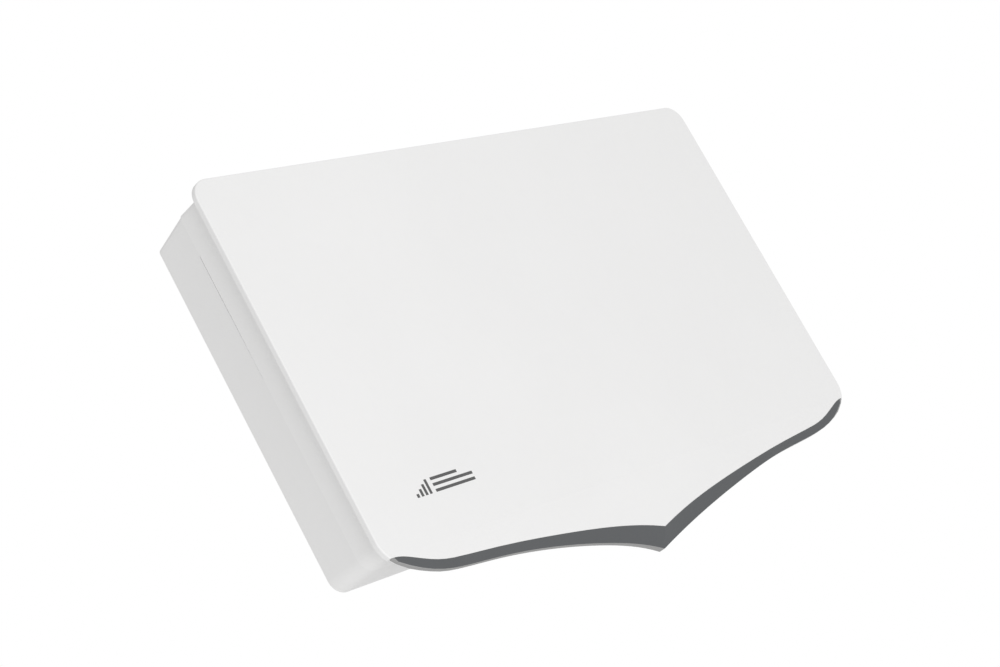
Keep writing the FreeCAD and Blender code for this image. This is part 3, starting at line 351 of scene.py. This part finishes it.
MATERIALS = {
    "cover_white": printed_face("cover_white_plastic", 0.80),
    "trim_dark": moulded_plastic("trim_dark_plastic", 0.100, 1.4, 0.50, -0.045, 0.10),
    # Painted reflection: the mid-grey of the edge_grey slot stands in for the bright floor reflected at a grazing
    # angle in the underside of the dark trim, whose plastic is as dark as trim_dark.
    "edge_grey": moulded_plastic("trim_underside_painted_reflection_plastic", 0.32, 1.0, 0.50),
    "housing_white": moulded_plastic("housing_white_plastic", 0.81, 1.6, 0.50),
    "shell_white": moulded_plastic("shell_white_plastic", 0.785, 1.8, 0.52),
    "seal_rubber": rubber("seal_rubber_black"),
    "stainless": stainless("stainless_steel"),
    "plated_plastic": plated_plastic("metallised_plastic"),
    "sheet_aluminium": rolled_sheet("rolled_aluminium"),
    "cast_aluminium": cast_metal("die_cast_aluminium", 0.52, 0.62, 1200.0, 0.42),
    "board_green": circuit_board("solder_mask_board"),
    "plated_brass": brass("gold_plated_brass", (0.80, 0.62, 0.30, 1)),
    "nickel_plate": nickel("satin_nickel"),
    "insulator_white": moulded_plastic("insulator_white_plastic", 0.78, 0.6, 0.34),
    "plug_grey": rubber("plug_grey_rubber", 0.10),
    "insert_brass": brass("turned_brass"),
    "galvanised": galvanised("hot_dip_zinc"),
    "zinc_plated": zinc_plate("bright_zinc"),
    "clamp_cast": cast_metal("sand_cast_aluminium", 0.40, 0.50),
}
INK = print_ink("scale_ink", 0.025)
SLOT_OF = {entry["node"]: entry["material_slot"] for entry in frame["record"]["subparts"]}
BODIES = frame["record"]["behaviour"]["bodies"]
BODY_OF = {node: body for body, members in BODIES.items() for node in members}

for name, slot_name in SLOT_OF.items():
    node = NODES[name]
    node.data.materials.clear()
    node.data.materials.append(MATERIALS[slot_name])


# ---------------------------------------------------------------- turned and threaded pieces
AROUND = 24                # vertices round a turned piece, a multiple of six so that hexagons fit
SHARP = math.radians(32.0)


def solids(node):
    """The box of each separate solid in a CAD node, as (lowest, highest) corners, in metres."""
    bm = bmesh.new()
    bm.from_mesh(NODES[node].data)
    bmesh.ops.remove_doubles(bm, verts=bm.verts, dist=1e-6)
    left = set(bm.verts)
    boxes = []
    while left:
        seed = min(left, key=lambda v: tuple(v.co))
        group = {seed}
        front = [seed]
        while front:
            for edge in front.pop().link_edges:
                for v in edge.verts:
                    if v not in group:
                        group.add(v)
                        front.append(v)
        left -= group
        low = Vector(min(v.co[i] for v in group) for i in range(3))
        high = Vector(max(v.co[i] for v in group) for i in range(3))
        boxes.append((low, high))
    bm.free()
    return sorted(boxes, key=lambda pair: tuple(round(c, 5) for c in pair[0]))


class Turned:
    """A closed turned part built along an axis from rings and threads. Sizes in millimetres."""

    def __init__(self, bm, foot, axis):
        self.bm = bm
        self.foot = Vector(foot)
        self.axis = Vector(axis)
        self.u = self.axis.orthogonal().normalized()
        self.v = self.axis.cross(self.u)
        self.last = None

    def point(self, j, r, h):
        a = 2.0 * math.pi * j / AROUND
        place = self.u * (math.cos(a) * r) + self.v * (math.sin(a) * r) + self.axis * h
        return self.bm.verts.new(self.foot + place * 0.001)

    def face(self, verts):
        loop = []
        for v in verts:
            if v not in loop:
                loop.append(v)
        if len(loop) > 2:
            self.bm.faces.new(loop)

    def ring(self, radius, height):
        """Adds a ring and joins it to the one before. Each size may be a function of the angle step."""
        verts = []
        for j in range(AROUND):
            r = radius(j) if callable(radius) else radius
            h = height(j) if callable(height) else height
            verts.append(self.point(j, r, h))
        if self.last is not None:
            for j in range(AROUND):
                k = (j + 1) % AROUND
                self.face([self.last[j], self.last[k], verts[k], verts[j]])
        self.last = verts

    def thread(self, root, crest, pitch, h0, h1):
        """A helical thread from h0 to h1. It starts and ends in a ring at the root radius."""
        self.ring(root, h0)
        start = self.last
        end = [self.point(j, root, h1) for j in range(AROUND)]
        profile = ((0.0, root), (0.12, root), (0.44, crest), (0.56, crest))     # share of the pitch, radius
        step = 1.0 if h1 > h0 else -1.0
        turns = int(abs(h1 - h0) / pitch) + 3
        rows = []
        for turn in range(turns):
            for place, r in profile:
                row = []
                for j in range(AROUND):
                    along = pitch * (turn - 1 + place + j / AROUND)
                    if along <= 0.0:
                        row.append(start[j])
                    elif along >= abs(h1 - h0):
                        row.append(end[j])
                    else:
                        row.append(self.point(j, r, h0 + step * along))
                rows.append(row)
        per_turn = len(profile)
        for m in range(len(rows) - per_turn - 1):
            for j in range(AROUND):
                if j + 1 < AROUND:
                    right = (rows[m][j + 1], rows[m + 1][j + 1])
                else:
                    right = (rows[m + per_turn][0], rows[m + per_turn + 1][0])
                self.face([rows[m][j], right[0], right[1], rows[m + 1][j]])
        self.last = end

    def close(self):
        """Caps the open ring."""
        self.bm.faces.new(self.last)
        self.last = None

    def start(self, radius, height):
        self.ring(radius, height)
        self.bm.faces.new(list(reversed(self.last)))


def hex_radius(across_flats):
    per_side = AROUND // 6
    half = across_flats / 2.0

    def radius(j):
        turn = ((j % per_side) / per_side) * math.pi / 3.0 - math.pi / 6.0
        return half / math.cos(turn)
    return radius


def hex_head(part, across_flats, h_top, h_face):
    """A hexagon head with a turned chamfer, from its top at h_top to its bearing face at h_face."""
    radius = hex_radius(across_flats)
    flat_r = across_flats * 0.475
    sign = 1.0 if h_face > h_top else -1.0

    def shoulder(j):
        return h_top + sign * (radius(j) - flat_r) * 0.5
    part.start(flat_r * 0.97, h_top)
    part.ring(flat_r, h_top + sign * 0.05)
    part.ring(radius, shoulder)
    part.ring(radius, h_face)


def dome_head(part, head_r, h_top, h_face):
    """A shallow domed head."""
    depth = h_face - h_top
    part.start(head_r * 0.12, h_top)
    for share in (0.35, 0.6, 0.8, 0.93, 1.0):
        part.ring(head_r * share, h_top + depth * 0.72 * (1.0 - math.sqrt(1.0 - (share * 0.97) ** 2)))
    part.ring(head_r, h_face)


def finish_mesh(bm, name, node):
    """Makes the mesh an object that stands for a CAD node, with its body, slot and material."""
    bmesh.ops.recalc_face_normals(bm, faces=bm.faces)
    for face in bm.faces:
        face.smooth = True
    for edge in bm.edges:
        if len(edge.link_faces) == 2:
            edge.smooth = edge.calc_face_angle(0.0) < SHARP
    mesh = bpy.data.meshes.new(name)
    bm.to_mesh(mesh)
    bm.free()
    obj = bpy.data.objects.new(name, mesh)
    bpy.context.scene.collection.objects.link(obj)
    mesh.materials.append(MATERIALS[SLOT_OF[node]])
    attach(obj, BODY_OF[node])
    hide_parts(node)


def along(box, axis):
    """Foot and length in millimetres of a solid that stands along axis, from its low end."""
    low, high = box
    middle = (low + high) / 2.0
    i = [abs(c) > 0.5 for c in axis].index(True)
    foot = middle.copy()
    foot[i] = low[i] if axis[i] > 0 else high[i]
    return foot, (high[i] - low[i]) * 1000.0


THREAD_DEPTH = 0.61                     # of the pitch
RUN_OUT = 0.3                           # millimetres between the plain shank and the thread
END_TAPER = 0.6                         # length of the turned end
END_DROP = 0.5                          # what the end is smaller than the thread's root


def bolts(node, axes, shank_r, pitch, thread_from, head):
    """Bolts that replace a CAD node: head, plain shank and a rolled thread with a turned end."""
    bm = bmesh.new()
    for i, solid in enumerate(solids(node)):
        axis = axes[i % len(axes)]
        foot, length = along(solid, axis)
        part = Turned(bm, foot, axis)
        head_depth = head(part)
        root = shank_r - THREAD_DEPTH * pitch
        part.ring(shank_r, head_depth)
        part.ring(shank_r, thread_from - RUN_OUT)
        part.thread(root, shank_r, pitch, thread_from, length - END_TAPER)
        part.ring(root - END_DROP, length)
        part.close()
    finish_mesh(bm, node + "_threaded", node)


def hex_bolt_head(across_flats, depth):
    def head(part):
        hex_head(part, across_flats, 0.0, depth)
        return depth
    return head


def round_bolt_head(radius, depth):
    def head(part):
        dome_head(part, radius, 0.0, depth)
        return depth
    return head


# The F-socket, in millimetres. Heights are measured up from its open end.
SOCKET_BORE_R = 3.3
SOCKET_MOUTH_DEPTH = 0.6                # chamfer at the mouth
SOCKET_MOUTH_R = 3.75
SOCKET_LIP_R = 4.15
SOCKET_ROOT_R = 4.30
SOCKET_CREST_R = 4.76                   # 3/8 inch thread
SOCKET_PITCH = 0.794                    # 32 threads to the inch
SOCKET_THREAD = (0.4, 12.0)
SOCKET_GROOVE_END = 12.8                # run-out groove above the thread
SOCKET_BARREL_R = 4.70
SOCKET_BARREL_START = 12.9
COLLAR_FLATS = 11.0
COLLAR = (20.6, 24.0)


def f_socket_bodies():
    """The two outlets: threaded barrel with its run-out groove, bore and hexagon collar."""
    node = "f_sockets"
    bm = bmesh.new()
    up = (0.0, 0.0, 1.0)
    for solid in solids(node):
        foot, length = along(solid, up)
        part = Turned(bm, foot, up)
        part.ring(SOCKET_BORE_R, length)
        inner = part.last
        part.ring(SOCKET_BORE_R, SOCKET_MOUTH_DEPTH)
        part.ring(SOCKET_MOUTH_R, 0.0)
        part.ring(SOCKET_LIP_R, 0.0)
        part.thread(SOCKET_ROOT_R, SOCKET_CREST_R, SOCKET_PITCH, SOCKET_THREAD[0], SOCKET_THREAD[1])
        part.ring(SOCKET_ROOT_R, SOCKET_GROOVE_END)
        part.ring(SOCKET_BARREL_R, SOCKET_BARREL_START)
        collar_r = hex_radius(COLLAR_FLATS)
        part.ring(SOCKET_BARREL_R, COLLAR[0])
        part.ring(collar_r, COLLAR[0])
        part.ring(collar_r, COLLAR[1])
        part.ring(SOCKET_BARREL_R, COLLAR[1])
        part.ring(SOCKET_BARREL_R, length)
        for j in range(AROUND):
            k = (j + 1) % AROUND
            part.face([part.last[j], part.last[k], inner[k], inner[j]])
    finish_mesh(bm, "f_socket_bodies", node)


OUT_Y = (0.0, 1.0, 0.0)
LEFT_X = (-1.0, 0.0, 0.0)
RIGHT_X = (1.0, 0.0, 0.0)
# Node, directions, shank radius, pitch, distance from the head's top to the thread, head. In millimetres.
bolts("clamp_bolts", [OUT_Y], 4.0, 1.25, 34.0, hex_bolt_head(13.0, 5.3))
bolts("skew_pivot_bolt", [OUT_Y], 5.0, 1.5, 14.0, hex_bolt_head(17.0, 5.6))
bolts("skew_bolts", [OUT_Y], 3.0, 1.0, 7.0, round_bolt_head(7.6, 3.2))
bolts("pivot_bolts", [LEFT_X, RIGHT_X], 4.0, 1.25, 11.0, round_bolt_head(8.0, 3.4))
bolts("lock_bolts", [LEFT_X, RIGHT_X], 3.0, 1.0, 10.0, round_bolt_head(6.5, 3.4))
f_socket_bodies()


# ---------------------------------------------------------------- printed scales
MARK = 0.00006             # thickness of the print


class Scale:
    """Ticks and numbers printed round a centre on a flat face. Sizes in millimetres."""

    def __init__(self, centre, right, up, out):
        self.centre = Vector(centre)
        self.right = Vector(right)
        self.up = Vector(up)
        self.out = Vector(out)
        self.bm = bmesh.new()

    def radial(self, degrees):
        a = math.radians(degrees)
        return self.right * math.cos(a) + self.up * math.sin(a)

    def plate(self, corners):
        low = [self.bm.verts.new(c) for c in corners]
        high = [self.bm.verts.new(c + self.out * MARK) for c in corners]
        self.bm.faces.new(list(reversed(low)))
        self.bm.faces.new(high)
        for i in range(len(corners)):
            k = (i + 1) % len(corners)
            self.bm.faces.new([low[i], low[k], high[k], high[i]])

    def tick(self, degrees, r0, r1, width):
        along_r = self.radial(degrees)
        side = self.out.cross(along_r) * (width * 0.0005)
        a = self.centre + along_r * (r0 * 0.001)
        b = self.centre + along_r * (r1 * 0.001)
        self.plate([a - side, b - side, b + side, a + side])

    def pointer(self, degrees, r_tip, r_base, half_w):
        along_r = self.radial(degrees)
        side = self.out.cross(along_r) * (half_w * 0.001)
        tip = self.centre + along_r * (r_tip * 0.001)
        base = self.centre + along_r * (r_base * 0.001)
        self.plate([tip, base + side, base - side])

    def number(self, value, degrees, r, size):
        """A plain numeral, upright to a reader who looks at the centre from outside the ring."""
        data = bpy.data.curves.new("numeral", "FONT")
        data.body = str(value)
        data.size = size * 0.001 / 0.7
        data.align_x = "CENTER"
        data.align_y = "CENTER"
        data.extrude = MARK / 2.0
        data.resolution_u = 3
        flat = bpy.data.objects.new("numeral", data)
        mesh = bpy.data.meshes.new_from_object(flat)
        along_r = self.radial(degrees)
        across = along_r.cross(self.out)
        turn = Matrix((across, along_r, self.out)).transposed().to_4x4()
        place = self.centre + along_r * (r * 0.001) + self.out * (MARK / 2.0)
        mesh.transform(Matrix.Translation(place) @ turn)
        self.bm.from_mesh(mesh)
        bpy.data.objects.remove(flat)
        bpy.data.curves.remove(data)
        bpy.data.meshes.remove(mesh)

    def done(self, name, body, slot_name):
        bmesh.ops.remove_doubles(self.bm, verts=self.bm.verts, dist=1e-7)
        bmesh.ops.recalc_face_normals(self.bm, faces=self.bm.faces)
        mesh = bpy.data.meshes.new(name)
        self.bm.to_mesh(mesh)
        self.bm.free()
        obj = bpy.data.objects.new(name, mesh)
        bpy.context.scene.collection.objects.link(obj)
        mesh.materials.append(INK)
        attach(obj, body)


def joint(name):
    return next(j for j in frame["joints"] if j["name"] == name)


# Radii and widths of the scales, in millimetres. A pair is for a long tick and a short one.
LONG, SHORT = 0, 1
TILT_TICK_IN = 44.4
TILT_TICK_OUT = (48.0, 46.4)
TILT_TICK_W = (0.5, 0.35)
TILT_NUMBER_R = 33.2
TILT_NUMBER_H = 3.2
SKEW_TICK_IN = (80.6, 82.2)
SKEW_TICK_OUT = 84.4
SKEW_TICK_W = (0.6, 0.4)
SKEW_NUMBER_R = 77.2
SKEW_NUMBER_H = 3.6
POINTER_TIP_R = 85.6
POINTER_BASE_R = 90.6
POINTER_HALF_W = 1.6
TOP = 90.0                              # degrees, straight up from the centre


def elevation_scales():
    """0 to 60 degrees along the curved slot in each cheek of the yoke, read at the lock bolt."""
    pivot = Vector(joint("elevation_tilt")["pos_m"])
    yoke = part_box("yoke_bracket")
    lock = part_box("lock_washers")
    lock_z = (lock[0].z + lock[1].z) / 2
    lock_y = (lock[0].y + lock[1].y) / 2
    lock_at = math.degrees(math.atan2(lock_z - pivot.z, lock_y - pivot.y))
    for side, x in ((-1.0, yoke[0].x), (1.0, yoke[1].x)):
        scale = Scale((x, pivot.y, pivot.z), (0, 1, 0), (0, 0, 1), (side, 0, 0))
        for tilt in range(0, 61, 5):
            kind = LONG if tilt % 20 == 0 else SHORT
            scale.tick(lock_at + tilt, TILT_TICK_IN, TILT_TICK_OUT[kind], TILT_TICK_W[kind])
            if kind == LONG:
                scale.number(tilt, lock_at + tilt, TILT_NUMBER_R, TILT_NUMBER_H)
        scale.done("elevation_scale_" + ("left" if side < 0 else "right"), "yoke", SLOT_OF["yoke_bracket"])


def skew_scale():
    """25 degrees each way at the top of the disc, read at a pointer on the mount plate."""
    pivot = Vector(joint("skew_turn")["pos_m"])
    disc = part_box("skew_plate")
    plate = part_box("mount_plate")
    scale = Scale((pivot.x, disc[1].y, pivot.z), (-1, 0, 0), (0, 0, 1), (0, 1, 0))
    for turn in range(-25, 26, 5):
        kind = LONG if turn % 10 == 0 else SHORT
        scale.tick(TOP + turn, SKEW_TICK_IN[kind], SKEW_TICK_OUT, SKEW_TICK_W[kind])
        if kind == LONG:
            scale.number(abs(turn), TOP + turn, SKEW_NUMBER_R, SKEW_NUMBER_H)
    scale.done("skew_scale", "yoke", SLOT_OF["skew_plate"])
    mark = Scale((pivot.x, plate[1].y, pivot.z), (-1, 0, 0), (0, 0, 1), (0, 1, 0))
    mark.pointer(TOP, POINTER_TIP_R, POINTER_BASE_R, POINTER_HALF_W)
    mark.done("skew_pointer", "panel", SLOT_OF["mount_plate"])


elevation_scales()
skew_scale()


# ---------------------------------------------------------------- stage, light, camera
FLOOR_HALF = 20.0
FLOOR_Z = -2.2                          # well below the antenna, which a mast carries
WORLD_LIGHT = 0.76
CAMERA_PLACE = (-1.20037, FACE_Y - 0.98197, -0.35278)    # in front of the face, left of it and low
CAMERA_TURN = (104.4143, 27.9665, -42.1552)              # degrees about X, Y and Z
CAMERA_LENS = 77.05                     # millimetres, on a sensor 36 mm wide


def floor():
    mesh = bpy.data.meshes.new("floor")
    s = FLOOR_HALF
    corners = [(-s, -s, FLOOR_Z), (s, -s, FLOOR_Z), (s, s, FLOOR_Z), (-s, s, FLOOR_Z)]
    mesh.from_pydata(corners, [], [(0, 1, 2, 3)])
    obj = bpy.data.objects.new("floor", mesh)
    bpy.context.scene.collection.objects.link(obj)
    m = Mat("pale_floor")
    colour = m.ramp(m.noise(3.0), [(0.3, grey(0.86)), (0.7, grey(0.89))])
    mesh.materials.append(m.done(colour, m.remap(m.noise(12.0), 0.75, 0.85)))


def white_world():
    world = bpy.data.worlds.new("studio")
    bpy.context.scene.world = world
    world.use_nodes = True
    tree = world.node_tree
    tree.nodes.clear()
    out = tree.nodes.new("ShaderNodeOutputWorld")
    soft = tree.nodes.new("ShaderNodeBackground")
    soft.inputs["Color"].default_value = (1.0, 1.0, 1.0, 1.0)
    soft.inputs["Strength"].default_value = WORLD_LIGHT
    seen = tree.nodes.new("ShaderNodeBackground")
    seen.inputs["Color"].default_value = (1.0, 1.0, 1.0, 1.0)
    seen.inputs["Strength"].default_value = 1.0
    path = tree.nodes.new("ShaderNodeLightPath")
    mix = tree.nodes.new("ShaderNodeMixShader")
    tree.links.new(path.outputs["Is Camera Ray"], mix.inputs[0])
    tree.links.new(soft.outputs[0], mix.inputs[1])
    tree.links.new(seen.outputs[0], mix.inputs[2])
    tree.links.new(mix.outputs[0], out.inputs["Surface"])


def softbox(name, place, aim, size, power):
    """A round area light. size is its diameter in metres, power is in watts."""
    data = bpy.data.lights.new(name, "AREA")
    data.shape = "DISK"
    data.size = size
    data.energy = power
    obj = bpy.data.objects.new(name, data)
    obj.location = place
    obj.rotation_euler = (Vector(aim) - Vector(place)).to_track_quat("-Z", "Y").to_euler()
    bpy.context.scene.collection.objects.link(obj)


def camera():
    data = bpy.data.cameras.new("camera")
    data.sensor_width = 36.0
    data.lens = CAMERA_LENS
    data.clip_start = 0.05
    data.clip_end = 60.0
    obj = bpy.data.objects.new("camera", data)
    turn = Euler([math.radians(angle) for angle in CAMERA_TURN]).to_matrix().to_4x4()
    obj.matrix_world = Matrix.Translation(CAMERA_PLACE) @ turn
    bpy.context.scene.collection.objects.link(obj)
    bpy.context.scene.camera = obj


floor()
white_world()
softbox("key", place=(-1.05, -3.0, -0.5), aim=(0.0, -0.15, 0.0), size=2.2, power=36.3)
softbox("low", place=(-1.1, 0.1, -1.5), aim=(-0.2, -0.14, -0.1), size=1.0, power=4.0)
camera()
bpy.context.scene.view_settings.view_transform = "Standard"
